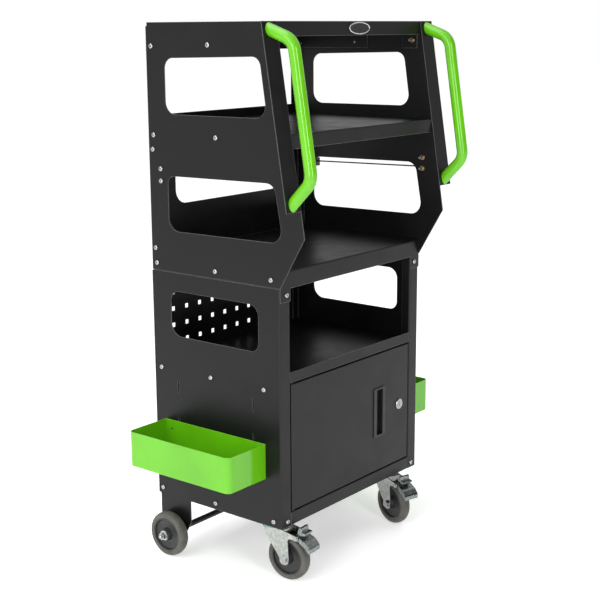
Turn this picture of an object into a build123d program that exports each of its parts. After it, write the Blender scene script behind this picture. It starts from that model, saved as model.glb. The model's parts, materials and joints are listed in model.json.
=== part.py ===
"""Rolling tool chest: a folded-sheet cabinet on casters with an open shelf unit on top.

Millimetres, +Z up, the operator's side faces -Y. The origin is on the floor, under the middle
of the whole object. Left is -X, as seen by someone standing in front of the chest.
"""
from build123d import *
from math import atan2, cos, degrees, sin
import os

# ---------------------------------------------------------------- driving dimensions
WIDTH = 450.0            # over the side panels
DEPTH = 320.0            # side panels, front face to back face
SHEET = 1.5              # sheet thickness
BEND = 2.0               # bend radius at the middle of the sheet
GAP = 0.2                # powder-coat gap between neighbouring sheets
CLEARANCE = 118.0        # floor to the cabinet's lower edge
SEAM = 460.0             # cabinet height, up to the seam with the shelf unit
HEIGHT = 930.0           # cabinet's lower edge to the top
FRONT = -112.5           # y of the cabinet's front plane

BOTTOM_Z = CLEARANCE
BACK = FRONT + DEPTH
SIDE_X = WIDTH / 2
INNER_X = SIDE_X - SHEET          # inner face of a side panel
PAN_X = INNER_X - GAP             # half width of a shelf that fits between the side panels

# Heights above the cabinet's lower edge
WORK_Z = 491.0
MID_Z = 738.0
INNER_SHELF_Z = 279.0
RAIL_Z = 26.0
TOP_Z = HEIGHT

# Slanted front of the shelf unit: a line in the side view, (distance behind the front, height)
TOP_FRONT = (2.0, 930.0)
NOSE = (-58.5, 556.5)
LEAN = atan2(TOP_FRONT[0] - NOSE[0], TOP_FRONT[1] - NOSE[1])
WING = 39.0              # width of the outward flange along the slanted front
WING_BOTTOM = 605.5

POST = 29.5              # width of a front post
POST_RETURN = 19.0       # depth of the post's inner return
POST_X = SIDE_X - POST   # inner face of a post
REAR_FLANGE = 20.0

# Fasteners
BOLT_R = 2.5
BOLT_HOLE_R = 2.75
HEAD_R = 4.8
HEAD_H = 2.7
NUT_FLATS = 8.0
NUT_H = 4.0
NUT_FLANGE_R = 5.4
NUT_FLANGE_H = 1.0
THREAD_END = 7.0

# Wheels
WHEEL_R = 45.0
AXLE_R = 4.0
REAR_AXLE = (279.0, WHEEL_R)      # behind the front plane, above the floor


# ---------------------------------------------------------------- helpers
def y_at(back):
    """y of a point this far behind the cabinet's front plane."""
    return FRONT + back


def z_at(up):
    """z of a point this far above the cabinet's lower edge."""
    return BOTTOM_Z + up


def slant(along, out):
    """(y, z) of a point down the slanted front from its top, standing this far out of it."""
    y = y_at(TOP_FRONT[0]) - along * sin(LEAN) - out * cos(LEAN)
    z = z_at(TOP_FRONT[1]) - along * cos(LEAN) + out * sin(LEAN)
    return (y, z)


def block(x, y, z):
    """A rectangular solid between pairs of x, y and z limits."""
    middle = Pos((x[0] + x[1]) / 2, (y[0] + y[1]) / 2, (z[0] + z[1]) / 2)
    return middle * Box(x[1] - x[0], y[1] - y[0], z[1] - z[0])


def outline(points, radii):
    """A closed face through the points, each corner rounded to its own radius."""
    face = make_face(Polyline(*points, close=True))
    for point, radius in zip(points, radii):
        if radius:
            corner = face.vertices().sort_by_distance(Vector(*point))[0]
            face = fillet(corner, radius)
    return face


def side_plate(face, x, thickness):
    """A plate whose outline is drawn as (y, z), growing from x along +X."""
    return Pos(x, 0, 0) * extrude(Plane.YZ * face, thickness)


def folded(points, plane, length, radius=BEND):
    """A sheet folded along a middle line that is drawn on the plane, then extruded."""
    strip = trace(FilletPolyline(*points, radius=radius), SHEET)
    return extrude(plane * strip, length)


def across(points, half_width):
    """A folded sheet with its section drawn as (y, z), running across the chest."""
    return folded(points, Plane.YZ.offset(-half_width), 2 * half_width)


def rod(start, end, radius):
    """A round bar between two points."""
    start = Vector(*start)
    end = Vector(*end)
    base = Plane(origin=start, z_dir=end - start)
    return extrude(base * Circle(radius), (end - start).length)


def ring(start, end, outer, inner):
    """A round tube between two points."""
    start = Vector(*start)
    end = Vector(*end)
    base = Plane(origin=start, z_dir=end - start)
    return extrude(base * (Circle(outer) - Circle(inner)), (end - start).length)


def hexagon(flats):
    """A regular hexagon by its width across flats."""
    return RegularPolygon(radius=flats / 2, side_count=6, major_radius=False)


def mirrored(part):
    """The same part on the other side of the chest."""
    return mirror(part, about=Plane.YZ)


def placed(solid, point, outward):
    """A solid made along +Z, moved so that its origin is at the point and +Z points outward."""
    return Plane(origin=point, z_dir=outward).location * solid


def drill(part, points, outward, radius, depth=12.0):
    """Cut round holes through the part at the points."""
    for point in points:
        bore = Pos(0, 0, -depth / 2) * Cylinder(radius, depth)
        part -= placed(Pos(0, 0, depth / 2) * bore, point, outward)
    return part


def group(solids):
    """Several separate solids that make one node."""
    return Compound(children=list(solids))


# ---------------------------------------------------------------- fasteners
def button_bolt(grip, beyond=NUT_H + THREAD_END):
    """A button-head screw: its head stands on z = 0, its shank goes down through the grip and beyond."""
    head = Cylinder(HEAD_R, HEAD_H, align=(Align.CENTER, Align.CENTER, Align.MIN))
    head = fillet(head.edges().sort_by(Axis.Z)[-1], HEAD_H * 0.75)
    head -= Pos(0, 0, HEAD_H - 1.4) * extrude(hexagon(3.0), 2.0)
    length = grip + beyond
    shank = Pos(0, 0, -length) * Cylinder(BOLT_R, length, align=(Align.CENTER, Align.CENTER, Align.MIN))
    return head + shank


def nut(grip):
    """A hexagon nut under the grip, open to the shank's radius."""
    body = extrude(hexagon(NUT_FLATS), NUT_H)
    body += Pos(0, 0, NUT_H - NUT_FLANGE_H / 2) * Cylinder(NUT_FLANGE_R, NUT_FLANGE_H)
    body -= Cylinder(BOLT_R, 4 * NUT_H)
    return Pos(0, 0, -grip - NUT_H) * body


# Side bolts as (distance behind the front, height above the cabinet's lower edge)
TWO_SHEETS = 2 * SHEET + GAP
HEADER_BOLT = (19.5, 893.0)
HEADER_SCREWS = [(162.5, 889.0), (306.5, 886.5)]     # these two enter threaded holes, with no nut
MID_BOLTS = [(-12.0, 726.0), (147.0, 723.5), (306.0, 721.5)]
REAR_PANEL_BOLTS = [(309.5, 694.0), (309.5, 504.0)]
WORK_BOLTS = [(19.0, 475.0), (155.0, 475.0), (307.0, 475.0)]
REAR_BRACKET_BOLTS = [(290.0, 658.0), (290.0, 635.0)]
FRONT_BRACKET_BOLTS = [(-8.0, 660.0), (-8.0, 638.0)]      # on the right panel only
INNER_SHELF_BOLTS = [(39.0, 266.0), (172.0, 266.0), (303.0, 266.0)]
BOTTOM_BOLTS = [(18.5, 12.0), (166.0, 13.0), (309.0, 13.0)]
POST_BOLT_HEIGHTS = [11.0, 447.0]
POST_BOLT_X = 207.0
REAR_SCREW_HEIGHTS = [60.0, 230.0, 400.0]
REAR_SCREW_X = 214.0

UPPER_BOLTS = [HEADER_BOLT] + MID_BOLTS + REAR_PANEL_BOLTS + WORK_BOLTS
LOWER_BOLTS = INNER_SHELF_BOLTS + BOTTOM_BOLTS


def side_points(places, x):
    """Places on a side panel as points at this x."""
    return [(x, y_at(back), z_at(up)) for back, up in places]


def post_points(y):
    """The four screws through the front posts."""
    return [(side * POST_BOLT_X, y, z_at(up)) for side in (-1, 1) for up in POST_BOLT_HEIGHTS]


def rear_points(y):
    """The screws that hold the perforated back."""
    return [(side * REAR_SCREW_X, y, z_at(up)) for side in (-1, 1) for up in REAR_SCREW_HEIGHTS]


def bracket_bolts(side):
    """Places of the bolts beside the middle window: a rear pair, and on the right a front pair."""
    return REAR_BRACKET_BOLTS + (FRONT_BRACKET_BOLTS if side > 0 else [])


def side_bolts(side):
    """The bolts of one side panel, heads outside; the rail's bolts have a longer grip."""
    outward = (side, 0, 0)
    bolts = []
    for point in side_points(HEADER_SCREWS, side * SIDE_X):
        bolts.append(placed(button_bolt(TWO_SHEETS, beyond=0.5), point, outward))
    for point in side_points(UPPER_BOLTS + LOWER_BOLTS, side * SIDE_X):
        bolts.append(placed(button_bolt(TWO_SHEETS), point, outward))
    for place in bracket_bolts(side):
        clamped = rail_thickness(place) if side > 0 else 0.0
        point = side_points([place], side * (SIDE_X + clamped))[0]
        bolts.append(placed(button_bolt(SHEET + clamped), point, outward))
    return group(bolts)


def side_nuts(side):
    """The nuts behind one side panel's bolts."""
    outward = (side, 0, 0)
    nuts = []
    for point in side_points(UPPER_BOLTS + LOWER_BOLTS, side * SIDE_X):
        nuts.append(placed(nut(TWO_SHEETS), point, outward))
    for point in side_points(bracket_bolts(side), side * SIDE_X):
        nuts.append(placed(nut(SHEET), point, outward))
    return group(nuts)


def front_screws():
    """The screws through the front posts; the upper pair also holds the work shelf's tabs."""
    screws = []
    for x, _, z in post_points(0):
        upper = z > z_at(SEAM / 2)
        grip = TWO_SHEETS
        face = y_at(-SHEET - GAP) if upper else y_at(0)
        screws.append(placed(button_bolt(grip), (x, face, z), (0, -1, 0)))
    return group(screws)


def rear_screws():
    """The screws that hold the perforated back to the rear flanges."""
    face = BACK + GAP + SHEET
    return group(placed(button_bolt(TWO_SHEETS), point, (0, 1, 0)) for point in rear_points(face))


def post_and_rear_nuts():
    """The nuts behind the front and the rear screws."""
    nuts = []
    for x, _, z in post_points(0):
        upper = z > z_at(SEAM / 2)
        face = y_at(-SHEET - GAP) if upper else y_at(0)
        nuts.append(placed(nut(TWO_SHEETS), (x, face, z), (0, -1, 0)))
    for point in rear_points(BACK + GAP + SHEET):
        nuts.append(placed(nut(TWO_SHEETS), point, (0, 1, 0)))
    return group(nuts)


# ---------------------------------------------------------------- shelf unit
# Window corners as (distance behind the front, height, corner radius), from the rear top forward
UPPER_WINDOW = [(273.0, 864.5, 20.0), (40.8, 869.5, 19.0), (24.5, 763.0, 22.0), (273.0, 761.5, 24.0)]
MIDDLE_WINDOW = [(272.0, 645.5, 16.0), (9.5, 649.5, 22.0), (-9.5, 543.5, 24.0), (272.0, 540.5, 26.0)]
BEND_OUTSIDE = 2.2            # outside radius of the wing's bend


def side_window(corners):
    """A cutter for a window in the left side panel."""
    points = [(y_at(back), z_at(up)) for back, up, _ in corners]
    radii = [radius for _, _, radius in corners]
    return side_plate(outline(points, radii), -SIDE_X - 1, 4)


def upper_side():
    """Left side of the shelf unit: a plate, its outward front wing and its inward rear flange."""
    corners = [
        (BACK, z_at(SEAM + 1.0)),
        (BACK, z_at(HEIGHT)),
        (y_at(TOP_FRONT[0]), z_at(HEIGHT)),
        (y_at(NOSE[0]), z_at(NOSE[1])),
        (y_at(-1.9), z_at(SEAM + 1.0)),
    ]
    side = side_plate(outline(corners, [0, 0, 0, 1.5, 1.5]), -SIDE_X, SHEET)
    side -= block((-SIDE_X - 1, -INNER_X + 1), (BACK - 3, BACK + 1), (z_at(HEIGHT - 7), z_at(HEIGHT + 1)))
    side += block((-SIDE_X, -SIDE_X + REAR_FLANGE), (BACK - SHEET, BACK), (z_at(SEAM + 1), z_at(HEIGHT - 7)))
    wing_length = (TOP_FRONT[1] - WING_BOTTOM) / cos(LEAN)
    wing = [slant(0, 0), slant(wing_length, 0), slant(wing_length, -SHEET), slant(0, -SHEET)]
    side += side_plate(outline(wing, [0, 0, 0, 0]), -SIDE_X - WING, WING + SHEET)
    side &= block((-SIDE_X - WING, 0), (y_at(-100), BACK), (0, z_at(HEIGHT)))
    bend_middle = Vector(-INNER_X, *slant(wing_length / 2, 0))
    bend = min(side.edges(), key=lambda edge: (edge.center() - bend_middle).length)
    side = fillet(bend, BEND_OUTSIDE)
    side -= side_window(UPPER_WINDOW)
    side -= side_window(MIDDLE_WINDOW)
    places = UPPER_BOLTS + HEADER_SCREWS + REAR_BRACKET_BOLTS
    side = drill(side, side_points(places, -SIDE_X), (-1, 0, 0), BOLT_HOLE_R)
    return drill(side, handle_feet(-1), slant_normal(), BOLT_HOLE_R)


def upper_side_right():
    """The right side of the shelf unit, which also has the front pair of bracket bolts."""
    return drill(mirrored(upper_side()), side_points(FRONT_BRACKET_BOLTS, SIDE_X), (1, 0, 0), BOLT_HOLE_R)


def top_panel():
    """Roof with a front header, a deep rear flange and flanges inside the side panels."""
    front = y_at(3 + SHEET / 2)
    rear = BACK - SHEET - GAP - SHEET / 2
    top = z_at(TOP_Z - SHEET / 2)
    panel = across([(front, z_at(904)), (front, top), (rear, top), (rear, z_at(875))], PAN_X)
    for side in (-1, 1):
        x = sorted((side * PAN_X, side * (PAN_X - SHEET)))
        panel += block(x, (y_at(8), y_at(44)), (z_at(877), z_at(TOP_Z - SHEET / 2)))
        panel += block(x, (y_at(130), rear), (z_at(877), z_at(TOP_Z - SHEET / 2)))
        places = [HEADER_BOLT] + HEADER_SCREWS
        panel = drill(panel, side_points(places, side * SIDE_X), (side, 0, 0), BOLT_HOLE_R)
    return panel


def header_badge():
    """A plain oval plate on the header."""
    plate = extrude(Ellipse(12.0, 33.0), 1.6)
    plate = chamfer(plate.faces().sort_by(Axis.Z)[-1].edges(), 0.6)
    return placed(plate, (18.0, y_at(3), z_at(917)), (0, -1, 0))


def mid_shelf():
    """Shelf with a front lip, side flanges and a low upstand at the back."""
    front = y_at(-28.4 + SHEET / 2)
    rear = BACK - SHEET - GAP - SHEET / 2
    top = z_at(MID_Z - SHEET / 2)
    shelf = across([(front, z_at(712)), (front, top), (rear, top), (rear, z_at(758))], PAN_X)
    for side in (-1, 1):
        x = sorted((side * PAN_X, side * (PAN_X - SHEET)))
        shelf += block(x, (front, rear), (z_at(712), top))
        shelf = drill(shelf, side_points(MID_BOLTS, side * SIDE_X), (side, 0, 0), BOLT_HOLE_R)
    return shelf


def rear_panel():
    """Back of the work area, standing on the flat of the work shelf, with a rounded window and side flanges."""
    rear = BACK - SHEET - GAP - 1.3
    low = z_at(WORK_Z + 0.02)
    high = z_at(706)
    panel = block((-PAN_X, PAN_X), (rear - SHEET, rear), (low, high))
    corners = [(-160, z_at(581)), (160, z_at(581)), (160, z_at(672)), (-160, z_at(672))]
    hole = extrude(Plane.XZ * outline(corners, [28, 28, 20, 20]), 40)
    panel -= Pos(0, BACK + 20, 0) * hole
    for side in (-1, 1):
        x = sorted((side * PAN_X, side * (PAN_X - SHEET)))
        panel += block(x, (rear - 18, rear), (low, high))
        panel = drill(panel, side_points(REAR_PANEL_BOLTS, side * SIDE_X), (side, 0, 0), BOLT_HOLE_R)
    return panel


def work_shelf():
    """Main work surface: front lip with two screw tabs, side flanges and a rear flange."""
    front = y_at(-SHEET / 2 - GAP)
    rear = BACK - SHEET - GAP - SHEET / 2
    top = z_at(WORK_Z - SHEET / 2)
    shelf = across([(front, z_at(458)), (front, top), (rear, top), (rear, z_at(434))], PAN_X)
    for side in (-1, 1):
        x = sorted((side * PAN_X, side * (PAN_X - SHEET)))
        shelf += block(x, (y_at(4), rear - 2), (z_at(SEAM - 8), top))
        tab = sorted((side * (SIDE_X - 0.5), side * POST_X))
        shelf += block(tab, (y_at(-SHEET - GAP), y_at(-GAP)), (z_at(434), z_at(SEAM - 0.5)))
        shelf = drill(shelf, side_points(WORK_BOLTS, side * SIDE_X), (side, 0, 0), BOLT_HOLE_R)
    return drill(shelf, post_points(FRONT), (0, -1, 0), BOLT_HOLE_R)


# ---------------------------------------------------------------- handles
HANDLE_R = 11.0
HANDLE_WALL = 1.5
HANDLE_OUT = 48.5
HANDLE_X = SIDE_X + WING / 2
HANDLE_MOUNTS = (14.5, 314.5)     # along the slant
HANDLE_CORNERS = (41.0, 279.0)
HANDLE_BEND = 30.0
HANDLE_PLUG = 8.0                 # solid threaded plug in each end


def slant_normal():
    """Unit vector out of the slanted front."""
    return (0, -cos(LEAN), sin(LEAN))


def handle_feet(side):
    """Centres of one handle's two ends on the wing."""
    return [(side * HANDLE_X, *slant(along, 0)) for along in HANDLE_MOUNTS]


def handle(side):
    """A bent tube with closed, threaded ends that stand on the wing."""
    path_points = [
        slant(HANDLE_MOUNTS[0], 0.05),
        slant(HANDLE_CORNERS[0], HANDLE_OUT),
        slant(HANDLE_CORNERS[1], HANDLE_OUT),
        slant(HANDLE_MOUNTS[1], 0.05),
    ]
    points = [(side * HANDLE_X, y, z) for y, z in path_points]
    start = Vector(*points[0])
    toward = (Vector(*points[1]) - start).normalized()
    end = Vector(*points[3])
    toward_end = (Vector(*points[2]) - end).normalized()
    extended = [start - toward * 15, points[1], points[2], end - toward_end * 15]
    path = FilletPolyline(*extended, radius=HANDLE_BEND)
    section = Plane(origin=extended[0], z_dir=toward)
    tube = sweep(section * Circle(HANDLE_R), path=path)
    bore = sweep(section * Circle(HANDLE_R - HANDLE_WALL), path=path)
    wing_face = Plane(origin=(side * HANDLE_X, *slant(0, 0.05)), z_dir=slant_normal())
    behind = wing_face * Pos(0, 0, -30) * Box(900, 900, 60)
    plugs = wing_face * Pos(0, 0, HANDLE_PLUG / 2) * Box(900, 900, HANDLE_PLUG)
    part = tube - behind - (bore - plugs)
    return drill(part, handle_feet(side), slant_normal(), BOLT_R + 0.05, depth=2 * HANDLE_PLUG)


def handle_screws():
    """Screws from behind the wings into the handles' ends."""
    screws = []
    for side in (-1, 1):
        for x, y, z in handle_feet(side):
            normal = Vector(*slant_normal())
            behind = Vector(x, y, z) - normal * SHEET
            head = Cylinder(HEAD_R, 3.0, align=(Align.CENTER, Align.CENTER, Align.MIN))
            shank = Cylinder(BOLT_R, HANDLE_PLUG, align=(Align.CENTER, Align.CENTER, Align.MAX))
            screws.append(placed(head + shank, behind, -normal))
    return group(screws)


# ---------------------------------------------------------------- side rail
RAIL_R = 1.5
RAIL_X = SIDE_X + 4.5
RAIL_FRONT = (4.0, 641.0)     # behind the front, above the cabinet's lower edge
RAIL_BACK = (303.0, 635.0)
BRACE_TOP = (311.0, 576.0)
BRACE_FOOT = (247.0, 515.0)
CLAMP_X = (SIDE_X + GAP, SIDE_X + 12.0)
CLAMP_PLATE = 2.0


def rail_thickness(place):
    """What a bracket bolt clamps outside the right panel: the rail's flat eye or the clamp."""
    clamped = place in (FRONT_BRACKET_BOLTS[1], REAR_BRACKET_BOLTS[0])
    return CLAMP_PLATE + GAP if clamped else 0.0


def side_rail():
    """A bent wire outside the right panel: a straight rail, then a brace back to the panel."""
    places = [RAIL_FRONT, RAIL_BACK, BRACE_TOP, BRACE_FOOT]
    points = [(RAIL_X, y_at(back), z_at(up)) for back, up in places]
    path = FilletPolyline(*points, radius=9.0)
    direction = Vector(*points[1]) - Vector(*points[0])
    wire = sweep(Plane(origin=points[0], z_dir=direction) * Circle(RAIL_R), path=path)
    eye_x = (SIDE_X + GAP, SIDE_X + GAP + CLAMP_PLATE)
    eye_y, eye_z = side_points([FRONT_BRACKET_BOLTS[1]], 0)[0][1:]
    front_eye = ring((eye_x[0], eye_y, eye_z), (eye_x[1], eye_y, eye_z), 6.0, BOLT_HOLE_R)
    front_tab = block((eye_x[0], RAIL_X + 0.3), (eye_y + 5.2, eye_y + 13), (eye_z, eye_z + 5))
    foot_y, foot_z = side_points([BRACE_FOOT], 0)[0][1:]
    foot = rod((SIDE_X + GAP, foot_y, foot_z), (RAIL_X + 0.4, foot_y, foot_z), 3.2)
    return wire + front_eye + front_tab + foot


def rail_clamp():
    """A moulded clamp that holds the rail, hung from the rear bracket bolt."""
    arm = block((CLAMP_X[0], CLAMP_X[0] + CLAMP_PLATE), (y_at(268), y_at(297)), (z_at(652), z_at(664)))
    neck = block((CLAMP_X[0], CLAMP_X[0] + 4), (y_at(268), y_at(272.5)), (z_at(636), z_at(656)))
    jaw = block(CLAMP_X, (y_at(266), y_at(280)), (z_at(625), z_at(643)))
    jaw = fillet(jaw.edges().filter_by(Axis.X), 2.0)
    clamp = arm + neck + jaw
    ends = [(RAIL_X, y_at(back), z_at(up)) for back, up in (RAIL_FRONT, RAIL_BACK)]
    clamp -= rod(ends[0], ends[1], RAIL_R + 0.05)
    return drill(clamp, side_points([REAR_BRACKET_BOLTS[0]], SIDE_X), (1, 0, 0), BOLT_HOLE_R)


# ---------------------------------------------------------------- cabinet
SLOT_BACKS = (66.5, 259.0)
SLOT_TOPS = (244.5, 176.0, 107.5)
SLOT_HEIGHT = 24.5
SLOT_WIDTH = 3.0
LEG_FRONT = 234.0
LEG_BACK = 316.0


def lower_side():
    """Left side of the cabinet: a front post, the panel, a rear flange and the wheel's leg."""
    mid = -SIDE_X + SHEET / 2
    section = [
        (-POST_X - SHEET / 2, y_at(POST_RETURN)),
        (-POST_X - SHEET / 2, y_at(SHEET / 2)),
        (mid, y_at(SHEET / 2)),
        (mid, BACK - SHEET / 2),
        (-SIDE_X + REAR_FLANGE, BACK - SHEET / 2),
    ]
    side = folded(section, Plane.XY.offset(z_at(0)), SEAM)
    notch = RAIL_Z + 2
    side -= block((-POST_X - 2.2, -POST_X + 1), (y_at(SHEET + 0.3), y_at(30)), (z_at(-1), z_at(notch)))
    leg = [
        (y_at(LEG_FRONT), z_at(10)),
        (y_at(LEG_FRONT), z_at(-45)),
        (y_at(262), z_at(-93)),
        (y_at(297), z_at(-93)),
        (y_at(LEG_BACK), z_at(-70)),
        (y_at(LEG_BACK), z_at(10)),
    ]
    side += side_plate(outline(leg, [0, 10, 14, 14, 10, 0]), -SIDE_X, SHEET)
    window = [
        (y_at(273), z_at(424)),
        (y_at(51), z_at(424)),
        (y_at(51), z_at(335)),
        (y_at(273), z_at(335)),
    ]
    side -= side_plate(outline(window, [21, 22, 18, 26]), -SIDE_X - 1, 4)
    for back in SLOT_BACKS:
        for top in SLOT_TOPS:
            width = (y_at(back - SLOT_WIDTH / 2), y_at(back + SLOT_WIDTH / 2))
            side -= block((-SIDE_X - 1, -INNER_X + 1), width, (z_at(top - SLOT_HEIGHT), z_at(top)))
    side = drill(side, side_points(LOWER_BOLTS, -SIDE_X), (-1, 0, 0), BOLT_HOLE_R)
    side = drill(side, [point for point in post_points(FRONT) if point[0] < 0], (0, -1, 0), BOLT_HOLE_R)
    side = drill(side, [point for point in rear_points(BACK) if point[0] < 0], (0, 1, 0), BOLT_HOLE_R)
    axle_point = (-SIDE_X, y_at(REAR_AXLE[0]), REAR_AXLE[1])
    return drill(side, [axle_point], (-1, 0, 0), AXLE_R + 0.1)


PITCH_X = 38.0
PITCH_Z = 33.5
PERFORATION = 9.0
PERFORATION_COLUMNS = 10
PERFORATION_ROWS = 5
PERFORATION_CENTRE = 371.5


def perforated_back():
    """Cabinet back, square-perforated behind the open compartment."""
    y = (BACK + GAP, BACK + GAP + SHEET)
    panel = block((-SIDE_X, SIDE_X), y, (z_at(0.5), z_at(SEAM - 1)))
    for column in range(PERFORATION_COLUMNS):
        for row in range(PERFORATION_ROWS):
            x = (column - (PERFORATION_COLUMNS - 1) / 2) * PITCH_X
            z = z_at(PERFORATION_CENTRE) + (row - (PERFORATION_ROWS - 1) / 2) * PITCH_Z
            half = PERFORATION / 2
            panel -= block((x - half, x + half), (y[0] - 1, y[1] + 1), (z - half, z + half))
    return drill(panel, rear_points(BACK), (0, 1, 0), BOLT_HOLE_R)


HINGE_X = -186.0
HINGE_BACK = 6.2
HINGE_R = 3.0
RUNNING = 0.08


def inner_shelf():
    """Shelf above the door: an upstanding front lip and side flanges."""
    front = y_at(SHEET / 2)
    rear = BACK - SHEET - GAP
    top = z_at(INNER_SHELF_Z - SHEET / 2)
    inside = POST_X - GAP
    shelf = across([(front, z_at(299)), (front, top), (y_at(40), top)], inside)
    sheet = (z_at(INNER_SHELF_Z - SHEET), z_at(INNER_SHELF_Z))
    shelf += block((-PAN_X, PAN_X), (y_at(POST_RETURN + 1), rear), sheet)
    for side in (-1, 1):
        x = sorted((side * PAN_X, side * (PAN_X - SHEET)))
        shelf += block(x, (y_at(POST_RETURN + 1), rear), (z_at(254), sheet[1]))
        shelf = drill(shelf, side_points(INNER_SHELF_BOLTS, side * SIDE_X), (side, 0, 0), BOLT_HOLE_R)
    pin = (HINGE_X, y_at(HINGE_BACK), z_at(INNER_SHELF_Z))
    return drill(shelf, [pin], (0, 0, 1), HINGE_R + 0.02)


def bottom_panel():
    """Cabinet floor: an upright front rail, with tabs behind the posts, and side flanges."""
    low = z_at(GAP)
    sheet = (low, low + SHEET)
    rear = BACK - SHEET - GAP
    inside = POST_X - GAP
    tab_y = (y_at(SHEET + GAP), y_at(2 * SHEET + GAP))
    panel = block((-PAN_X, PAN_X), (tab_y[0], rear), sheet)
    panel += block((-inside, inside), (y_at(0), tab_y[1]), (low, z_at(RAIL_Z)))
    panel = fillet(panel.edges().filter_by(Axis.X).sort_by(Axis.Y)[0:2], 1.4)
    panel += block((-PAN_X + 1.5, PAN_X - 1.5), tab_y, (low, z_at(RAIL_Z - 2)))
    panel += block((-PAN_X + 1.5, PAN_X - 1.5), (rear - SHEET, rear), (low, z_at(RAIL_Z)))
    for side in (-1, 1):
        x = sorted((side * PAN_X, side * (PAN_X - SHEET)))
        panel += block(x, (tab_y[0] + SHEET / 2, rear - SHEET / 2), (low, z_at(RAIL_Z)))
        panel = drill(panel, side_points(BOTTOM_BOLTS, side * SIDE_X), (side, 0, 0), BOLT_HOLE_R)
    panel = drill(panel, post_points(FRONT), (0, -1, 0), BOLT_HOLE_R)
    return drill(panel, caster_bolt_points(z_at(0)), (0, 0, 1), CASTER_BOLT_R + 0.25)


# ---------------------------------------------------------------- door
DOOR_X = POST_X - 3.0
DOOR_LOW = 28.6
DOOR_HIGH = 275.3
DOOR_DEPTH = 14.0
DOOR_FACE = 0.2
PULL_X = 89.5
PULL_UP = 152.5
PULL_SIZE = (39.0, 104.0)
CUP_SIZE = (23.0, 98.0)
CUP_DEPTH = 11.0
LOCK_X = 160.5
LOCK_UP = 152.5
LOCK_R = 9.0
LOCK_LENGTH = 19.4       # barrel and cylinder behind the door's face, past the post's return
CORE_R = 6.0
CAM_LENGTH = 38.0


def door():
    """A shallow pan, open at the back, with holes for its pull, lock and hinge pins."""
    y = (y_at(DOOR_FACE), y_at(DOOR_FACE + DOOR_DEPTH))
    pan = block((-DOOR_X, DOOR_X), y, (z_at(DOOR_LOW), z_at(DOOR_HIGH)))
    front = pan.faces().sort_by(Axis.Y)[0]
    pan = fillet(front.edges(), 1.4)
    inner_x = DOOR_X - SHEET
    hollow_z = (z_at(DOOR_LOW + SHEET), z_at(DOOR_HIGH - SHEET))
    pan -= block((-inner_x, inner_x), (y[0] + SHEET, y[1] + 1), hollow_z)
    half = (CUP_SIZE[0] / 2 + 0.1, CUP_SIZE[1] / 2 + 0.1)
    cup_x = (PULL_X - half[0], PULL_X + half[0])
    pan -= block(cup_x, (y[0] - 1, y[0] + 3), (z_at(PULL_UP - half[1]), z_at(PULL_UP + half[1])))
    pan = drill(pan, [(LOCK_X, y[0], z_at(LOCK_UP))], (0, -1, 0), LOCK_R + 0.05, depth=6)
    pins = [(HINGE_X, y_at(HINGE_BACK), z_at(up)) for up in (DOOR_LOW, DOOR_HIGH)]
    return drill(pan, pins, (0, 0, 1), HINGE_R + RUNNING, depth=8)


def door_pull():
    """A recessed finger pull: a bezel on the door's face and a cup behind it."""
    face = y_at(DOOR_FACE)
    half = (PULL_SIZE[0] / 2, PULL_SIZE[1] / 2)
    bezel_z = (z_at(PULL_UP - half[1]), z_at(PULL_UP + half[1]))
    bezel = block((PULL_X - half[0], PULL_X + half[0]), (face - 2.0, face), bezel_z)
    bezel = fillet(bezel.edges().filter_by(Axis.Y), 4.0)
    bezel = fillet(bezel.faces().sort_by(Axis.Y)[0].edges(), 1.2)
    half = (CUP_SIZE[0] / 2, CUP_SIZE[1] / 2)
    cup_z = (z_at(PULL_UP - half[1]), z_at(PULL_UP + half[1]))
    cup = block((PULL_X - half[0], PULL_X + half[0]), (face, face + CUP_DEPTH), cup_z)
    wall = 1.2
    hollow_z = (cup_z[0] + wall, cup_z[1] - wall)
    hollow_x = (PULL_X - half[0] + wall, PULL_X + half[0] - wall)
    return bezel + cup - block(hollow_x, (face - 3, face + CUP_DEPTH - wall), hollow_z)


def lock_housing():
    """Flanged barrel of the cam lock."""
    face = y_at(DOOR_FACE)
    z = z_at(LOCK_UP)
    flange = ring((LOCK_X, face, z), (LOCK_X, face - 2.0, z), LOCK_R + 2.2, CORE_R + RUNNING)
    flange = chamfer(flange.faces().sort_by(Axis.Y)[0].outer_wire().edges(), 0.8)
    barrel = ring((LOCK_X, face, z), (LOCK_X, face + LOCK_LENGTH - 0.6, z), LOCK_R, CORE_R + RUNNING)
    return flange + barrel


def lock_nut():
    """Thin hexagon nut that clamps the lock to the door's skin."""
    start = y_at(DOOR_FACE + SHEET)
    body = extrude(hexagon(24.0), 3.5) - Cylinder(LOCK_R, 20)
    return placed(body, (LOCK_X, start, z_at(LOCK_UP)), (0, 1, 0))


def lock_core():
    """Turning cylinder with a keyway in its face."""
    face = y_at(DOOR_FACE)
    z = z_at(LOCK_UP)
    core = rod((LOCK_X, face - 2.4, z), (LOCK_X, face + LOCK_LENGTH, z), CORE_R)
    keyway = block((LOCK_X - 0.8, LOCK_X + 0.8), (face - 4, face + 6), (z - 3.8, z + 3.8))
    return core - keyway


def lock_cam():
    """Cam plate on the back of the cylinder, hanging down when unlocked, with its screw."""
    start = y_at(DOOR_FACE + LOCK_LENGTH)
    z = z_at(LOCK_UP)
    end_z = z - CAM_LENGTH
    plate = rod((LOCK_X, start, z), (LOCK_X, start + 2.5, z), 8.0)
    plate += block((LOCK_X - 6.5, LOCK_X + 6.5), (start, start + 2.5), (end_z, z))
    plate = fillet(plate.edges().filter_by(Axis.Y).sort_by(Axis.Z)[0:2], 3.0)
    screw = Plane(origin=(LOCK_X, start + 2.5, z), z_dir=(0, 1, 0)) * extrude(hexagon(8.0), 3.0)
    return plate + screw


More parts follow.
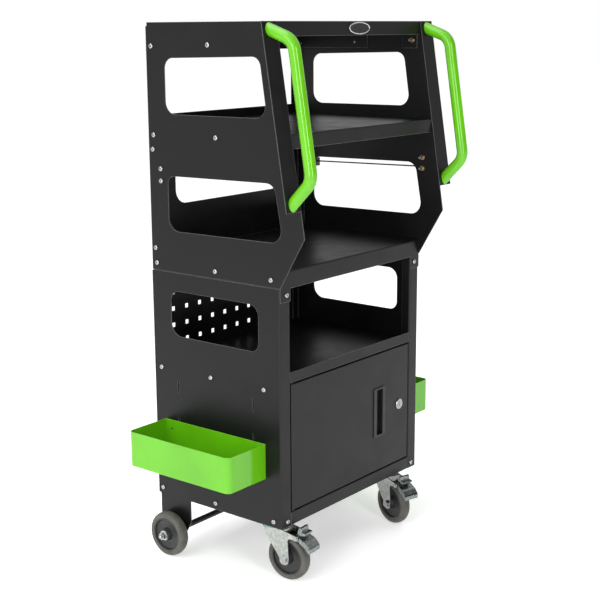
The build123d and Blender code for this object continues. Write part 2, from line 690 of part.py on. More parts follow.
def hinge_bracket():
    """Folded bracket on the cabinet floor that carries the lower hinge pin."""
    low = z_at(GAP + SHEET)
    top = z_at(RAIL_Z - SHEET / 2)
    upright = y_at(15.0)
    section = [(y_at(32), low + SHEET / 2), (upright, low + SHEET / 2), (upright, top), (y_at(3.6), top)]
    plane = Plane.YZ.offset(HINGE_X - 7)
    bracket = folded(section, plane, 14, radius=1.6)
    pin = (HINGE_X, y_at(HINGE_BACK), z_at(RAIL_Z))
    return drill(bracket, [pin], (0, 0, 1), HINGE_R + 0.02, depth=6)


def hinge_pins():
    """Two short pins: one down through the inner shelf, one up from the bracket."""
    x = HINGE_X
    y = y_at(HINGE_BACK)
    shelf_top = z_at(INNER_SHELF_Z)
    upper = rod((x, y, shelf_top + 0.1), (x, y, z_at(DOOR_HIGH - 6)), HINGE_R)
    upper += rod((x, y, shelf_top + 0.1), (x, y, shelf_top + 2.0), 4.6)
    lower = rod((x, y, z_at(RAIL_Z - 4)), (x, y, z_at(DOOR_LOW + 7)), HINGE_R)
    lower += rod((x, y, z_at(RAIL_Z + 0.1)), (x, y, z_at(RAIL_Z + 1.6)), 4.6)
    return group([upper, lower])


# ---------------------------------------------------------------- hanging trays
TRAY_Y = (37.0, 295.5)
TRAY_UP = (92.5, 161.5)
TRAY_REACH = 104.0
TRAY_CORNER = 12.0


def tray():
    """Left hanging tray: an open bin with two rounded outer corners and two hooks behind."""
    back = -SIDE_X - GAP
    front = back - TRAY_REACH
    corners = [(back, y_at(TRAY_Y[0])), (front, y_at(TRAY_Y[0])), (front, y_at(TRAY_Y[1])), (back, y_at(TRAY_Y[1]))]
    outer = outline(corners, [0, TRAY_CORNER, TRAY_CORNER, 0])
    shrunk = [
        (back - SHEET, y_at(TRAY_Y[0] + SHEET)),
        (front + SHEET, y_at(TRAY_Y[0] + SHEET)),
        (front + SHEET, y_at(TRAY_Y[1] - SHEET)),
        (back - SHEET, y_at(TRAY_Y[1] - SHEET)),
    ]
    inner = outline(shrunk, [0, TRAY_CORNER - SHEET, TRAY_CORNER - SHEET, 0])
    low = z_at(TRAY_UP[0])
    high = z_at(TRAY_UP[1])
    bin_body = Pos(0, 0, low) * extrude(outer, high - low)
    bin_body = fillet(bin_body.faces().sort_by(Axis.Z)[0].edges().sort_by(Axis.X)[:-1], 1.4)
    bin_body -= Pos(0, 0, low + SHEET) * extrude(inner, high - low)
    slot_low = SLOT_TOPS[1] - SLOT_HEIGHT
    for place in SLOT_BACKS:
        y = (y_at(place - 1.1), y_at(place + 1.1))
        neck_z = (z_at(slot_low + 0.2), z_at(slot_low + 8))
        bin_body += block((back - 0.5, -INNER_X + 2.0), y, neck_z)
        bin_body += block((-INNER_X + 0.35, -INNER_X + 2.0), y, (z_at(slot_low - 12), neck_z[1]))
    holes = side_points([(60.0, 143.0), (279.0, 143.0)], -SIDE_X)
    return drill(bin_body, holes, (-1, 0, 0), 2.4, depth=8)


# ---------------------------------------------------------------- wheels
HUB_R = 34.0
HUB_HALF = 10.0
BOSS_HALF = 14.5
TYRE_HALF = 11.5
BUSH_R = 6.5


def tyre():
    """Solid tyre with a crowned tread, its axis along X through the origin."""
    wall = WHEEL_R - 8
    shoulder = (TYRE_HALF - 1.4, WHEEL_R - 3.6)
    crown = (TYRE_HALF - 5.5, WHEEL_R - 0.9)
    profile = make_face([
        Line((-HUB_HALF, HUB_R), (HUB_HALF, HUB_R)),
        Line((HUB_HALF, HUB_R), (TYRE_HALF, wall)),
        ThreePointArc((TYRE_HALF, wall), shoulder, crown),
        ThreePointArc(crown, (0, WHEEL_R), (-crown[0], crown[1])),
        ThreePointArc((-crown[0], crown[1]), (-shoulder[0], shoulder[1]), (-TYRE_HALF, wall)),
        Line((-TYRE_HALF, wall), (-HUB_HALF, HUB_R)),
    ])
    return revolve(profile, Axis.X)


def hub():
    """Moulded wheel centre: rim, dished web and boss, its axis along X through the origin."""
    profile = make_face(Polyline(
        (-BOSS_HALF, BUSH_R), (BOSS_HALF, BUSH_R), (BOSS_HALF, 11.5), (5.0, 13.5), (4.0, 20.0),
        (5.5, 30.0), (HUB_HALF, 31.5), (HUB_HALF, HUB_R), (-HUB_HALF, HUB_R), (-HUB_HALF, 31.5),
        (-5.5, 30.0), (-4.0, 20.0), (-5.0, 13.5), (-BOSS_HALF, 11.5), close=True,
    ))
    return revolve(profile, Axis.X)


def bush():
    """Plain bearing bush in the wheel centre."""
    return ring((-BOSS_HALF, 0, 0), (BOSS_HALF, 0, 0), BUSH_R, AXLE_R + RUNNING)


REAR_WASHER = 2.0
REAR_WHEEL_X = SIDE_X + REAR_WASHER + 0.3 + BOSS_HALF
REAR_NUT_X = REAR_WHEEL_X + BOSS_HALF + 0.3


def rear_wheel(part, side):
    """A wheel piece moved to the rear axle."""
    return Pos(side * REAR_WHEEL_X, y_at(REAR_AXLE[0]), REAR_AXLE[1]) * part


def rear_axle():
    """Steel rod through both legs and both wheels."""
    y = y_at(REAR_AXLE[0])
    end = REAR_NUT_X + 13.0
    axle = rod((-end, y, REAR_AXLE[1]), (end, y, REAR_AXLE[1]), AXLE_R)
    return chamfer(axle.edges().filter_by(GeomType.CIRCLE), 0.8)


def rear_axle_tube():
    """Spacer tube around the axle, between the legs."""
    y = y_at(REAR_AXLE[0])
    x = INNER_X - 0.05
    return ring((-x, y, REAR_AXLE[1]), (x, y, REAR_AXLE[1]), AXLE_R + 2.0, AXLE_R + 0.2)


def rear_axle_nuts():
    """Inner spacer washers, outer washers and nuts on the rear axle."""
    y = y_at(REAR_AXLE[0])
    z = REAR_AXLE[1]
    pieces = []
    for side in (-1, 1):
        inner = (side * (SIDE_X + 0.02), side * (SIDE_X + REAR_WASHER))
        outer = (side * REAR_NUT_X, side * (REAR_NUT_X + 1.6))
        for x in (inner, outer):
            pieces.append(ring((x[0], y, z), (x[1], y, z), 10.0, AXLE_R))
        body = extrude(hexagon(13.0), 7.0) - Cylinder(AXLE_R, 40)
        body = body & Pos(0, 0, 3.5) * Sphere(8.0)
        pieces.append(placed(body, (outer[1], y, z), (side, 0, 0)))
    return group(pieces)


# ---------------------------------------------------------------- front casters
# A caster is made with its swivel axis on Z and its trail toward -Y, then turned and moved.
SWIVEL_X = 183.0
SWIVEL_BACK = 53.0
CASTER_TURN = {-1: 4.0, 1: -16.0}
TRAIL = 35.0
PLATE_HALF = 31.0
PLATE_T = 2.5
CASTER_BOLT_PITCH = 23.0
CASTER_BOLT_R = 3.0
RACE_R = 24.0
CROWN = (101.0, 104.0)
FORK_X = 16.0
FORK_T = 2.5
BRAKE_PIVOT = (-62.0, 93.0)
BRAKE_PIN_R = 2.5


def caster(part, side):
    """A caster piece moved under its corner of the cabinet."""
    return Pos(side * SWIVEL_X, y_at(SWIVEL_BACK), 0) * Rot(0, 0, CASTER_TURN[side]) * part


def caster_fixed(part, side):
    """A piece of the caster's fixed half, square to the cabinet."""
    return Pos(side * SWIVEL_X, y_at(SWIVEL_BACK), 0) * part


def caster_bolt_points(z):
    """The eight bolts that hold both caster plates."""
    points = []
    for side in (-1, 1):
        for dx in (-CASTER_BOLT_PITCH, CASTER_BOLT_PITCH):
            for dy in (-CASTER_BOLT_PITCH, CASTER_BOLT_PITCH):
                points.append((side * SWIVEL_X + dx, y_at(SWIVEL_BACK) + dy, z))
    return points


def caster_plate():
    """Square top plate with rounded corners and four holes."""
    top = BOTTOM_Z + GAP
    plate = block((-PLATE_HALF, PLATE_HALF), (-PLATE_HALF, PLATE_HALF), (top - PLATE_T, top))
    plate = fillet(plate.edges().filter_by(Axis.Z), 7.0)
    plate -= rod((0, 0, top - 5), (0, 0, top + 1), AXLE_R + 0.05)
    for dx in (-CASTER_BOLT_PITCH, CASTER_BOLT_PITCH):
        for dy in (-CASTER_BOLT_PITCH, CASTER_BOLT_PITCH):
            plate -= Pos(dx, dy, top) * Cylinder(CASTER_BOLT_R + 0.25, 10)
    return plate


def caster_race():
    """Pressed upper race under the plate: a shallow dish whose skirt covers the balls."""
    top = BOTTOM_Z + GAP - PLATE_T
    low = CROWN[1] + 1.0
    profile = make_face(Polyline(
        (AXLE_R + 0.05, top), (RACE_R - 4, top), (RACE_R, top - 4), (RACE_R, low), (RACE_R - 2, low),
        (RACE_R - 2, top - 5), (RACE_R - 5, top - 2), (AXLE_R + 0.05, top - 2), close=True,
    ))
    return revolve(Plane.XZ * profile, Axis.Z)


def caster_kingpin():
    """Riveted kingpin with its lower head under the fork's crown."""
    top = BOTTOM_Z + GAP
    pin = rod((0, 0, CROWN[0] - 4.5), (0, 0, top), AXLE_R)
    return pin + rod((0, 0, CROWN[0] - 4.5), (0, 0, CROWN[0] - 0.5), 9.0)


def caster_screws():
    """Bolts down through the cabinet floor and the caster plates, with their nuts below."""
    pieces = []
    floor_top = z_at(GAP + SHEET)
    for x, y, _ in caster_bolt_points(0):
        head = Cylinder(5.2, 3.2, align=(Align.CENTER, Align.CENTER, Align.MIN))
        head = fillet(head.edges().sort_by(Axis.Z)[-1], 2.0)
        shank = Cylinder(CASTER_BOLT_R, 12.0, align=(Align.CENTER, Align.CENTER, Align.MAX))
        bolt = Pos(x, y, floor_top + 0.02) * (head + shank)
        under = BOTTOM_Z + GAP - PLATE_T - 0.02
        body = Pos(x, y, under - 5.0) * (extrude(hexagon(10.0), 5.0) - Cylinder(CASTER_BOLT_R, 20))
        pieces += [bolt, body]
    return group(pieces)


def fork_leg():
    """One side of the fork: wide at the crown, narrow at the axle, with an arm for the brake."""
    top = CROWN[1]
    shape = outline(
        [
            (12.0, top), (12.0, top - 9), (-TRAIL + 10.5, WHEEL_R + 2), (-TRAIL + 9, WHEEL_R - 11),
            (-TRAIL - 9, WHEEL_R - 11), (-TRAIL - 11, WHEEL_R + 2), (-TRAIL - 8.5, 90.0),
            (BRAKE_PIVOT[0] - 5, BRAKE_PIVOT[1] - 4), (BRAKE_PIVOT[0] - 6, BRAKE_PIVOT[1] + 4), (-30.0, top),
        ],
        [0, 8, 14, 8, 8, 14, 6, 3.5, 3.5, 12],
    )
    leg = side_plate(shape, FORK_X, FORK_T)
    leg -= rod((0, -TRAIL, WHEEL_R), (40, -TRAIL, WHEEL_R), AXLE_R + 0.05)
    return leg - rod((0, *BRAKE_PIVOT), (40, *BRAKE_PIVOT), BRAKE_PIN_R + 0.05)


def caster_fork():
    """Pressed fork: a round crown, two legs and the forward arms of the brake."""
    crown = rod((0, 0, CROWN[0]), (0, 0, CROWN[1]), RACE_R - 2.6)
    outer = FORK_X + FORK_T
    crown += block((-outer, outer), (-32, 14), CROWN)
    crown -= rod((0, 0, CROWN[0] - 1), (0, 0, CROWN[1] + 1), AXLE_R + RUNNING)
    leg = fork_leg()
    return crown + leg + mirrored(leg)


def caster_axle():
    """Axle bolt with its nut, and the pin of the brake."""
    outer = FORK_X + FORK_T + 0.05
    y = -TRAIL
    bolt = rod((-outer, y, WHEEL_R), (outer + 8, y, WHEEL_R), AXLE_R)
    bolt += Plane(origin=(-outer, y, WHEEL_R), z_dir=(-1, 0, 0)) * extrude(hexagon(13.0), 4.5)
    body = extrude(hexagon(13.0), 6.0) - Cylinder(AXLE_R, 40)
    fixing = placed(body, (outer, y, WHEEL_R), (1, 0, 0))
    pin = rod((-outer, *BRAKE_PIVOT), (outer, *BRAKE_PIVOT), BRAKE_PIN_R)
    for side in (-1, 1):
        pin += rod((side * outer, *BRAKE_PIVOT), (side * (outer + 1.2), *BRAKE_PIVOT), 4.0)
    return group([bolt, fixing, pin])


def caster_brake():
    """Foot brake on its pivot: a lower tread, a toothed release above it, and the shoe."""
    barrel = ring((-13, *BRAKE_PIVOT), (13, *BRAKE_PIVOT), 5.5, BRAKE_PIN_R + RUNNING)
    py, pz = BRAKE_PIVOT
    tread = outline(
        [(py - 3, pz - 2), (py - 8, pz + 2.5), (py - 23, pz - 5), (py - 32, pz - 15), (py - 32, pz - 25),
         (py - 28, pz - 24), (py - 19.5, pz - 15), (py - 9, pz - 8)],
        [0, 3, 8, 6, 1.5, 1.5, 6, 3],
    )
    tread = side_plate(tread, -17, 34)
    for side in (-1, 1):
        x = sorted((side * (FORK_X - 0.5), side * 20))
        tread -= block(x, (py - 8, py + 10), (pz - 20, pz + 20))
    release = outline(
        [(py + 2, pz + 3), (py - 4, pz + 21), (py - 9, pz + 21), (py - 10, pz + 12), (py - 18, pz + 12),
         (py - 19, pz + 8), (py - 9, pz + 6), (py - 6, pz - 1)],
        [0, 1, 1, 2, 1, 1, 2, 0],
    )
    release = side_plate(release, -12, 24)
    shoe = outline(
        [(py - 5, pz - 2), (py - 3.5, pz - 8.5), (py + 0.7, pz - 9.6), (py + 4.5, pz - 6), (py + 5, pz - 2)],
        [0, 1, 1, 1, 0],
    )
    shoe = side_plate(shoe, -10, 20)
    return barrel + tread + release + shoe - rod((-20, *BRAKE_PIVOT), (20, *BRAKE_PIVOT), BRAKE_PIN_R + RUNNING)


# ---------------------------------------------------------------- nodes
def build():
    """Every node by name."""
    left_lower = lower_side()
    left_tray = tray()
    nodes = {
        "upper_side_left": upper_side(),
        "upper_side_right": upper_side_right(),
        "top_panel": top_panel(),
        "header_badge": header_badge(),
        "mid_shelf": mid_shelf(),
        "rear_panel": rear_panel(),
        "work_shelf": work_shelf(),
        "handle_left": handle(-1),
        "handle_right": handle(1),
        "handle_screws": handle_screws(),
        "side_rail": side_rail(),
        "rail_clamp": rail_clamp(),
        "lower_side_left": left_lower,
        "lower_side_right": mirrored(left_lower),
        "perforated_back": perforated_back(),
        "inner_shelf": inner_shelf(),
        "bottom_panel": bottom_panel(),
        "side_bolts_left": side_bolts(-1),
        "side_bolts_right": side_bolts(1),
        "side_nuts_left": side_nuts(-1),
        "side_nuts_right": side_nuts(1),
        "front_screws": front_screws(),
        "rear_screws": rear_screws(),
        "post_and_rear_nuts": post_and_rear_nuts(),
        "hinge_bracket": hinge_bracket(),
        "hinge_pins": hinge_pins(),
        "door": door(),
        "door_pull": door_pull(),
        "lock_housing": lock_housing(),
        "lock_nut": lock_nut(),
        "lock_core": lock_core(),
        "lock_cam": lock_cam(),
        "tray_left": left_tray,
        "tray_right": mirrored(left_tray),
        "rear_axle": rear_axle(),
        "rear_axle_tube": rear_axle_tube(),
        "rear_axle_nuts": rear_axle_nuts(),
        "caster_screws": caster_screws(),
    }
    for name, side in (("left", -1), ("right", 1)):
        nodes["rear_tyre_" + name] = rear_wheel(tyre(), side)
        nodes["rear_hub_" + name] = rear_wheel(hub(), side)
        nodes["rear_bush_" + name] = rear_wheel(bush(), side)
        nodes["caster_plate_" + name] = caster_fixed(caster_plate(), side)
        nodes["caster_race_" + name] = caster_fixed(caster_race(), side)
        nodes["caster_kingpin_" + name] = caster_fixed(caster_kingpin(), side)
        nodes["caster_fork_" + name] = caster(caster_fork(), side)
        nodes["caster_axle_" + name] = caster(caster_axle(), side)
        nodes["caster_brake_" + name] = caster(caster_brake(), side)
        nodes["caster_tyre_" + name] = caster(Pos(0, -TRAIL, WHEEL_R) * tyre(), side)
        nodes["caster_hub_" + name] = caster(Pos(0, -TRAIL, WHEEL_R) * (hub() + bush()), side)
    return nodes


os.makedirs("parts", exist_ok=True)
for node, part in build().items():
    export_step(part, f"parts/{node}.step")
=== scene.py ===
"""Looks of the rolling tool chest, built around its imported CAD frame.

Metres, +Z up, door toward -Y.
"""
import json
import math

import bmesh
import bpy
from mathutils import Matrix, Vector


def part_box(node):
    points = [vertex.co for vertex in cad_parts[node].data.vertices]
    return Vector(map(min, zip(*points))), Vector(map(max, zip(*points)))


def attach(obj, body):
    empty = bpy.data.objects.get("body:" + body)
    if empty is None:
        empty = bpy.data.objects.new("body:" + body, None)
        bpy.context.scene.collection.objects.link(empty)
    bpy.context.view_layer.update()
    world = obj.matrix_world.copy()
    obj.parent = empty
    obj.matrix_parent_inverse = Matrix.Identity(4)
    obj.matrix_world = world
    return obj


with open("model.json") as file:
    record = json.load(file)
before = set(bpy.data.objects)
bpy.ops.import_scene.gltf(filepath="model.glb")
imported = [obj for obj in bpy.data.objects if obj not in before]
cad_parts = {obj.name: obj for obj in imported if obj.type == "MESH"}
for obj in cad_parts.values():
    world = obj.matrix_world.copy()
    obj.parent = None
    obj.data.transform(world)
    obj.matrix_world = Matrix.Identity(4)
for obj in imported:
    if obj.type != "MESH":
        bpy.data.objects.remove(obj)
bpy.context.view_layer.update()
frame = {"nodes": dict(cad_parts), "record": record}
NODES = frame["nodes"]

# ---------------------------------------------------------------- camera
CAMERA_AT = (-1.8907, -1.49899, 1.0363)
CAMERA_YAW = 0.8937          # from +Y toward +X
CAMERA_PITCH = 0.2168        # downward
CAMERA_ROLL = -0.00587
LENS_MM = 74.16
SENSOR_MM = 36.0


# ---------------------------------------------------------------- materials
# Noise scales are cells per metre. Bump depths and edge radii are metres.
NOISE_LOW, NOISE_HIGH = 0.3, 0.7      # most of a noise lies between these
EDGE_SAMPLES = 4


class Look:
    """A principled material and short calls that add nodes to it."""

    def __init__(self, name):
        self.material = bpy.data.materials.new(name)
        self.material.use_nodes = True
        self.tree = self.material.node_tree
        self.tree.nodes.clear()
        self.output = self.tree.nodes.new("ShaderNodeOutputMaterial")
        self.shader = self.tree.nodes.new("ShaderNodeBsdfPrincipled")
        self.link(self.shader.outputs["BSDF"], self.output.inputs["Surface"])
        self.place = self.tree.nodes.new("ShaderNodeTexCoord").outputs["Object"]

    def link(self, source, target):
        self.tree.links.new(source, target)

    def set(self, **values):
        for name, value in values.items():
            self.shader.inputs[name.replace("_", " ")].default_value = value

    def stretched(self, scale):
        node = self.tree.nodes.new("ShaderNodeMapping")
        node.inputs["Scale"].default_value = scale
        self.link(self.place, node.inputs["Vector"])
        return node.outputs["Vector"]

    def noise(self, scale, detail=3.0, roughness=0.5, place=None):
        node = self.tree.nodes.new("ShaderNodeTexNoise")
        node.inputs["Scale"].default_value = scale
        node.inputs["Detail"].default_value = detail
        node.inputs["Roughness"].default_value = roughness
        self.link(place or self.place, node.inputs["Vector"])
        return node.outputs["Fac"]

    def spread(self, value, low, high, start=0.0, end=1.0):
        node = self.tree.nodes.new("ShaderNodeMapRange")
        node.inputs["From Min"].default_value = start
        node.inputs["From Max"].default_value = end
        node.inputs["To Min"].default_value = low
        node.inputs["To Max"].default_value = high
        self.link(value, node.inputs["Value"])
        return node.outputs["Result"]

    def varied(self, noise, low=0.0, high=1.0):
        """A noise's middle part, spread from low to high."""
        return self.spread(noise, low, high, NOISE_LOW, NOISE_HIGH)

    def mixed(self, factor, first, second):
        """Two colours mixed, each given as a socket or as three channels."""
        node = self.tree.nodes.new("ShaderNodeMix")
        node.data_type = "RGBA"
        self.link(factor, node.inputs["Factor"])
        colours_in = [socket for socket in node.inputs if socket.type == "RGBA"]
        for value, target in zip((first, second), colours_in):
            if hasattr(value, "is_output"):
                self.link(value, target)
            else:
                target.default_value = (*value, 1.0)
        return next(socket for socket in node.outputs if socket.type == "RGBA")

    def edges(self, radius, gain):
        """A mask that is 1 along sharp edges, from the difference a rounded normal makes; the
        materials use it to paint highlights along edges.
        """
        rounded = self.tree.nodes.new("ShaderNodeBevel")
        rounded.samples = EDGE_SAMPLES
        rounded.inputs["Radius"].default_value = radius
        flat = self.tree.nodes.new("ShaderNodeNewGeometry")
        dot = self.tree.nodes.new("ShaderNodeVectorMath")
        dot.operation = "DOT_PRODUCT"
        self.link(rounded.outputs["Normal"], dot.inputs[0])
        self.link(flat.outputs["Normal"], dot.inputs[1])
        mask = self.spread(dot.outputs["Value"], gain, 0.0, 0.75, 1.0)
        return mask, rounded.outputs["Normal"]

    def bump(self, height, depth, strength=1.0, normal=None):
        node = self.tree.nodes.new("ShaderNodeBump")
        node.inputs["Strength"].default_value = strength
        node.inputs["Distance"].default_value = depth
        self.link(height, node.inputs["Height"])
        if normal is not None:
            self.link(normal, node.inputs["Normal"])
        return node.outputs["Normal"]

    def connect(self, name, value):
        self.link(value, self.shader.inputs[name])


def powder_coat(name, colour, edge_highlight_colour, rough, grain, edge_radius, gloss):
    """Baked powder paint: orange-peel grain, faint cloudiness and painted highlights that make the
    edges paler.
    """
    look = Look(name)
    look.set(Metallic=0.0, Specular_IOR_Level=gloss)
    mask, rounded = look.edges(edge_radius, 0.9)
    cloud = look.noise(7.0, 4.0)
    darker = tuple(channel * 0.86 for channel in colour)
    lighter = tuple(min(1.0, channel * 1.12) for channel in colour)
    body = look.mixed(look.varied(cloud), darker, lighter)
    specks = look.spread(look.noise(1400.0, 1.0), 0.0, 0.5, 0.55, 0.75)
    speck = look.mixed(specks, body, lighter)
    # Painted highlight: along sharp edges the colour is mixed toward the pale edge colour.
    look.connect("Base Color", look.mixed(mask, speck, edge_highlight_colour))
    smear = look.noise(24.0, 5.0)
    look.connect("Roughness", look.spread(smear, rough - 0.05, rough + 0.07, 0.25, 0.75))
    fine = look.noise(900.0, 2.0)
    broad = look.noise(160.0, 2.0)
    normal = look.bump(fine, 0.00012 * grain, 0.6, rounded)
    look.connect("Normal", look.bump(broad, 0.0002 * grain, 0.35, normal))
    return look.material


def plated(name, colour, tint, rough, spangle=300.0, edge_radius=0.0004):
    """Zinc-plated steel: crystalline tone changes, fine scratches and painted highlights that
    brighten the edges.
    """
    look = Look(name)
    look.set(Metallic=1.0)
    mask, rounded = look.edges(edge_radius, 0.7)
    crystals = look.varied(look.noise(spangle, 4.0, 0.7))
    body = look.mixed(crystals, colour, tint)
    # Painted highlight colour for the edges, a little paler than the metal.
    pale = tuple(min(1.0, channel * 1.15) for channel in colour)
    look.connect("Base Color", look.mixed(mask, body, pale))
    look.connect("Roughness", look.varied(look.noise(120.0, 3.0), rough - 0.08, rough + 0.1))
    scratches = look.noise(260.0, 2.0, 0.5, look.stretched((1.0, 1.0, 14.0)))
    look.connect("Normal", look.bump(scratches, 0.00005, 0.5, rounded))
    return look.material


def moulded(name, colour, rough):
    """Injection-moulded plastic: fine spark texture and painted highlights that lighten the edges.
    """
    look = Look(name)
    look.set(Metallic=0.0, Specular_IOR_Level=0.45)
    mask, rounded = look.edges(0.0006, 0.6)
    # Painted highlight colour for the edges, much lighter than the plastic.
    painted_edge_highlight = tuple(min(1.0, channel * 2.2 + 0.01) for channel in colour)
    tone = look.varied(look.noise(40.0, 3.0))
    lighter = tuple(min(1.0, channel * 1.2) for channel in colour)
    look.connect("Base Color", look.mixed(mask, look.mixed(tone, colour, lighter), painted_edge_highlight))
    look.connect("Roughness", look.varied(look.noise(80.0, 4.0), rough - 0.06, rough + 0.08))
    look.connect("Normal", look.bump(look.noise(1800.0, 2.0), 0.00008, 0.6, rounded))
    return look.material


def rubber(name, colour, dusty):
    """Grey thermoplastic tread: satin, dusty where it has rolled, with faint moulding grain."""
    look = Look(name)
    look.set(Metallic=0.0, Specular_IOR_Level=0.35)
    dust = look.spread(look.noise(55.0, 5.0, 0.6), 0.0, 1.0, 0.35, 0.75)
    look.connect("Base Color", look.mixed(dust, colour, dusty))
    look.connect("Roughness", look.varied(look.noise(90.0, 3.0), 0.5, 0.72))
    look.connect("Normal", look.bump(look.noise(700.0, 3.0), 0.00012, 0.6))
    return look.material


# Each coat's second colour is the painted highlight along its edges.
CHARCOAL = powder_coat("charcoal powder coat", (0.004, 0.004, 0.0042), (0.22, 0.22, 0.225),
                       rough=0.36, grain=1.0, edge_radius=0.0016, gloss=0.25)
GREEN = powder_coat("green powder coat", (0.11, 0.42, 0.005), (0.28, 0.66, 0.07),
                    rough=0.12, grain=0.25, edge_radius=0.0009, gloss=0.5)
BRIGHT = plated("bright zinc", (0.50, 0.50, 0.49), (0.30, 0.31, 0.31), 0.2)
YELLOW = plated("yellow zinc", (0.52, 0.40, 0.18), (0.36, 0.31, 0.19), 0.26)
GALVANISED = plated("galvanised steel", (0.50, 0.51, 0.49), (0.27, 0.285, 0.275), 0.2, 160.0)
TINTED = plated("blue passivated zinc", (0.26, 0.35, 0.34), (0.12, 0.2, 0.2), 0.24)
TREAD = plated("dark textured zinc", (0.36, 0.38, 0.37), (0.10, 0.12, 0.12), 0.24, 260.0)
LOCK = plated("plated lock", (0.42, 0.42, 0.42), (0.28, 0.28, 0.29), 0.18)
RIM = plated("pale badge rim", (0.78, 0.78, 0.78), (0.66, 0.66, 0.67), 0.3)
BLACK = moulded("black moulding", (0.008, 0.008, 0.009), 0.42)
HUB = moulded("hub nylon", (0.02, 0.02, 0.021), 0.45)
TYRE = rubber("grey tyre", (0.07, 0.066, 0.058), (0.115, 0.11, 0.096))

LOOKS = {
    "charcoal_panel": CHARCOAL,
    "green_paint": GREEN,
    "black_badge": BLACK,
    "black_plastic": BLACK,
    "bright_zinc": BRIGHT,
    "yellow_zinc": YELLOW,
    "galvanised": GALVANISED,
    "tread_zinc": TREAD,
    "grey_tyre": TYRE,
    "dark_hub": HUB,
    "bush_steel": GALVANISED,
    "lock_metal": LOCK,
}


def repaint(node, material):
    """Gives one CAD node a material."""
    mesh = NODES[node].data
    mesh.materials.clear()
    mesh.materials.append(material)


def dress_frame():
    """Gives every CAD node its record slot's material, then darkens or tints a few of them."""
    for part in frame["record"]["subparts"]:
        repaint(part["node"], LOOKS[part["material_slot"]])
    for node in ("caster_race_left", "caster_race_right"):
        repaint(node, TINTED)
    for node in ("hinge_pins", "hinge_bracket", "rear_axle_tube"):
        repaint(node, BLACK)


# ---------------------------------------------------------------- badge
BADGE_RIM = 0.0011                    # radius of the raised rim
BADGE_INSET = 1.6 * BADGE_RIM         # from the plate's outline to the rim's centre line
BADGE_STEPS = 96                      # around the oval
BADGE_SIDES = 8                       # around the rim's section


def badge_rim():
    """A pale raised rim around the plain oval plate on the header."""
    low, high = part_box("header_badge")
    middle = [(a + b) / 2 for a, b in zip(low, high)]
    half_width = (high[0] - low[0]) / 2 - BADGE_INSET
    half_height = (high[2] - low[2]) / 2 - BADGE_INSET
    mesh = bmesh.new()
    rings = []
    for step in range(BADGE_STEPS):
        angle = 2 * math.pi * step / BADGE_STEPS
        slope = Vector((math.cos(angle) / half_width, 0.0, math.sin(angle) / half_height))
        outward = slope.normalized()
        along = half_width * math.cos(angle)
        upward = half_height * math.sin(angle)
        centre = Vector((middle[0] + along, low[1], middle[2] + upward))
        ring = []
        for turn in range(BADGE_SIDES):
            roll = 2 * math.pi * turn / BADGE_SIDES
            offset = outward * math.cos(roll) + Vector((0.0, -1.0, 0.0)) * math.sin(roll)
            ring.append(mesh.verts.new(centre + offset * BADGE_RIM))
        rings.append(ring)
    for step in range(BADGE_STEPS):
        here = rings[step]
        ahead = rings[(step + 1) % BADGE_STEPS]
        for turn in range(BADGE_SIDES):
            after = (turn + 1) % BADGE_SIDES
            mesh.faces.new((here[turn], ahead[turn], ahead[after], here[after]))
    bmesh.ops.recalc_face_normals(mesh, faces=mesh.faces)
    data = bpy.data.meshes.new("badge_rim")
    mesh.to_mesh(data)
    mesh.free()
    for face in data.polygons:
        face.use_smooth = True
    data.materials.append(RIM)
    rim = bpy.data.objects.new("badge_rim", data)
    bpy.context.scene.collection.objects.link(rim)
    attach(rim, "chest")


# ---------------------------------------------------------------- studio
DARK_SIDE = (0.15, -0.99, 0.0)        # middle of the dark opening in the room
DARK_STARTS = 0.45                    # cosines of the angle from that middle
DARK_FULL = 0.75
ROOM_BRIGHT = 1.0
ROOM_DARK = 0.03
FLOOR_GLOW = 0.4
FLOOR_HALF = 30.0
LAMPS = {                             # place, the point it looks at, size and watts
    "key": ((-2.6, 0.4, 2.4), (0.0, 0.0, 0.6), (1.6, 2.0), 24.0),
    "top": ((-0.5, 0.9, 3.1), (0.0, 0.0, 0.5), (2.0, 2.0), 34.0),
    "left box": ((-2.95, -0.73, 1.4), (0.0, 0.0, 0.8), (0.55, 2.0), 32.0),
    "front box": ((-1.2, -2.8, 1.4), (0.0, 0.0, 0.8), (0.55, 2.0), 34.0),
}


def floor():
    """A plain pale floor, far larger than the view."""
    mesh = bmesh.new()
    bmesh.ops.create_grid(mesh, x_segments=1, y_segments=1, size=FLOOR_HALF)
    data = bpy.data.meshes.new("floor")
    mesh.to_mesh(data)
    mesh.free()
    plane = bpy.data.objects.new("floor", data)
    bpy.context.scene.collection.objects.link(plane)
    look = Look("pale floor")
    look.set(Metallic=0.0, Specular_IOR_Level=0.1)
    look.set(Emission_Color=(1.0, 1.0, 1.0, 1.0), Emission_Strength=FLOOR_GLOW)
    tone = look.varied(look.noise(2.0, 3.0))
    look.connect("Base Color", look.mixed(tone, (0.95, 0.95, 0.95), (0.97, 0.97, 0.97)))
    look.connect("Roughness", look.varied(look.noise(5.0), 0.7, 0.85))
    data.materials.append(look.material)


def area_light(name, at, target, size, power):
    """A soft rectangular light that looks at a point."""
    data = bpy.data.lights.new(name, "AREA")
    data.shape = "RECTANGLE"
    data.size, data.size_y = size
    data.energy = power
    lamp = bpy.data.objects.new(name, data)
    bpy.context.scene.collection.objects.link(lamp)
    lamp.location = at
    lamp.rotation_euler = (Vector(target) - Vector(at)).to_track_quat("-Z", "Y").to_euler()


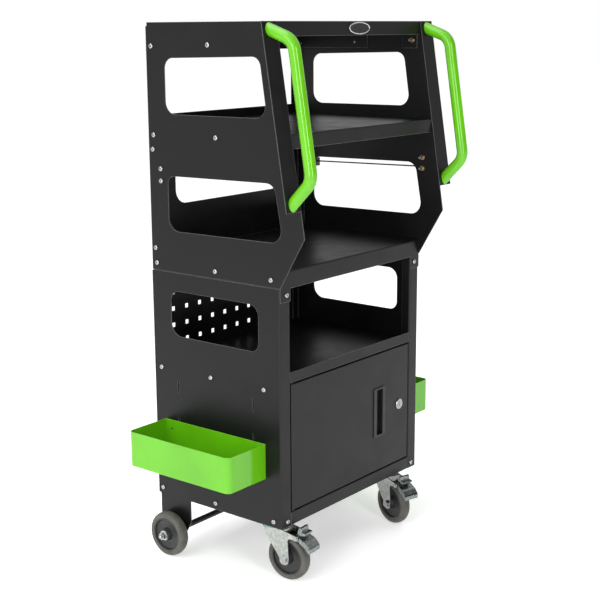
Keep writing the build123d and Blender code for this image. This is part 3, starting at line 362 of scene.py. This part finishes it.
def surround():
    """White behind the object; elsewhere a white room with a dark opening in front of the door."""
    world = bpy.data.worlds.new("surround")
    world.use_nodes = True
    tree = world.node_tree
    backdrop = tree.nodes["Background"]
    backdrop.inputs["Color"].default_value = (1.0, 1.0, 1.0, 1.0)
    backdrop.inputs["Strength"].default_value = 1.0
    room = tree.nodes.new("ShaderNodeBackground")
    direction = tree.nodes.new("ShaderNodeTexCoord").outputs["Generated"]
    toward = tree.nodes.new("ShaderNodeVectorMath")
    toward.operation = "DOT_PRODUCT"
    toward.inputs[1].default_value = DARK_SIDE
    tree.links.new(direction, toward.inputs[0])
    fade = tree.nodes.new("ShaderNodeMapRange")
    fade.interpolation_type = "SMOOTHSTEP"
    fade.inputs["From Min"].default_value = DARK_STARTS
    fade.inputs["From Max"].default_value = DARK_FULL
    fade.inputs["To Min"].default_value = ROOM_BRIGHT
    fade.inputs["To Max"].default_value = ROOM_DARK
    tree.links.new(toward.outputs["Value"], fade.inputs["Value"])
    tree.links.new(fade.outputs["Result"], room.inputs["Strength"])
    seen = tree.nodes.new("ShaderNodeLightPath").outputs["Is Camera Ray"]
    mix = tree.nodes.new("ShaderNodeMixShader")
    tree.links.new(seen, mix.inputs["Fac"])
    tree.links.new(room.outputs["Background"], mix.inputs[1])
    tree.links.new(backdrop.outputs["Background"], mix.inputs[2])
    tree.links.new(mix.outputs["Shader"], tree.nodes["World Output"].inputs["Surface"])
    bpy.context.scene.world = world


def lights():
    """A left key, a top light, and two narrow boxes that draw two bright bands on the tubes."""
    for name, (at, target, size, power) in LAMPS.items():
        area_light(name, at, target, size, power)


def camera():
    """The calibrated camera of the reference view."""
    data = bpy.data.cameras.new("camera")
    data.lens = LENS_MM
    data.sensor_width = SENSOR_MM
    data.dof.use_dof = False
    data.clip_end = 100.0
    eye = bpy.data.objects.new("camera", data)
    bpy.context.scene.collection.objects.link(eye)
    forward = Vector((
        math.sin(CAMERA_YAW) * math.cos(CAMERA_PITCH),
        math.cos(CAMERA_YAW) * math.cos(CAMERA_PITCH),
        -math.sin(CAMERA_PITCH),
    ))
    right = Vector((math.cos(CAMERA_YAW), -math.sin(CAMERA_YAW), 0.0))
    up = right.cross(forward)
    tilted_right = math.cos(CAMERA_ROLL) * right + math.sin(CAMERA_ROLL) * up
    tilted_up = math.cos(CAMERA_ROLL) * up - math.sin(CAMERA_ROLL) * right
    basis = Matrix((tilted_right, tilted_up, -forward)).transposed().to_4x4()
    eye.matrix_world = Matrix.Translation(CAMERA_AT) @ basis
    bpy.context.scene.camera = eye


dress_frame()
badge_rim()
floor()
surround()
lights()
camera()
bpy.context.scene.view_settings.view_transform = "Standard"
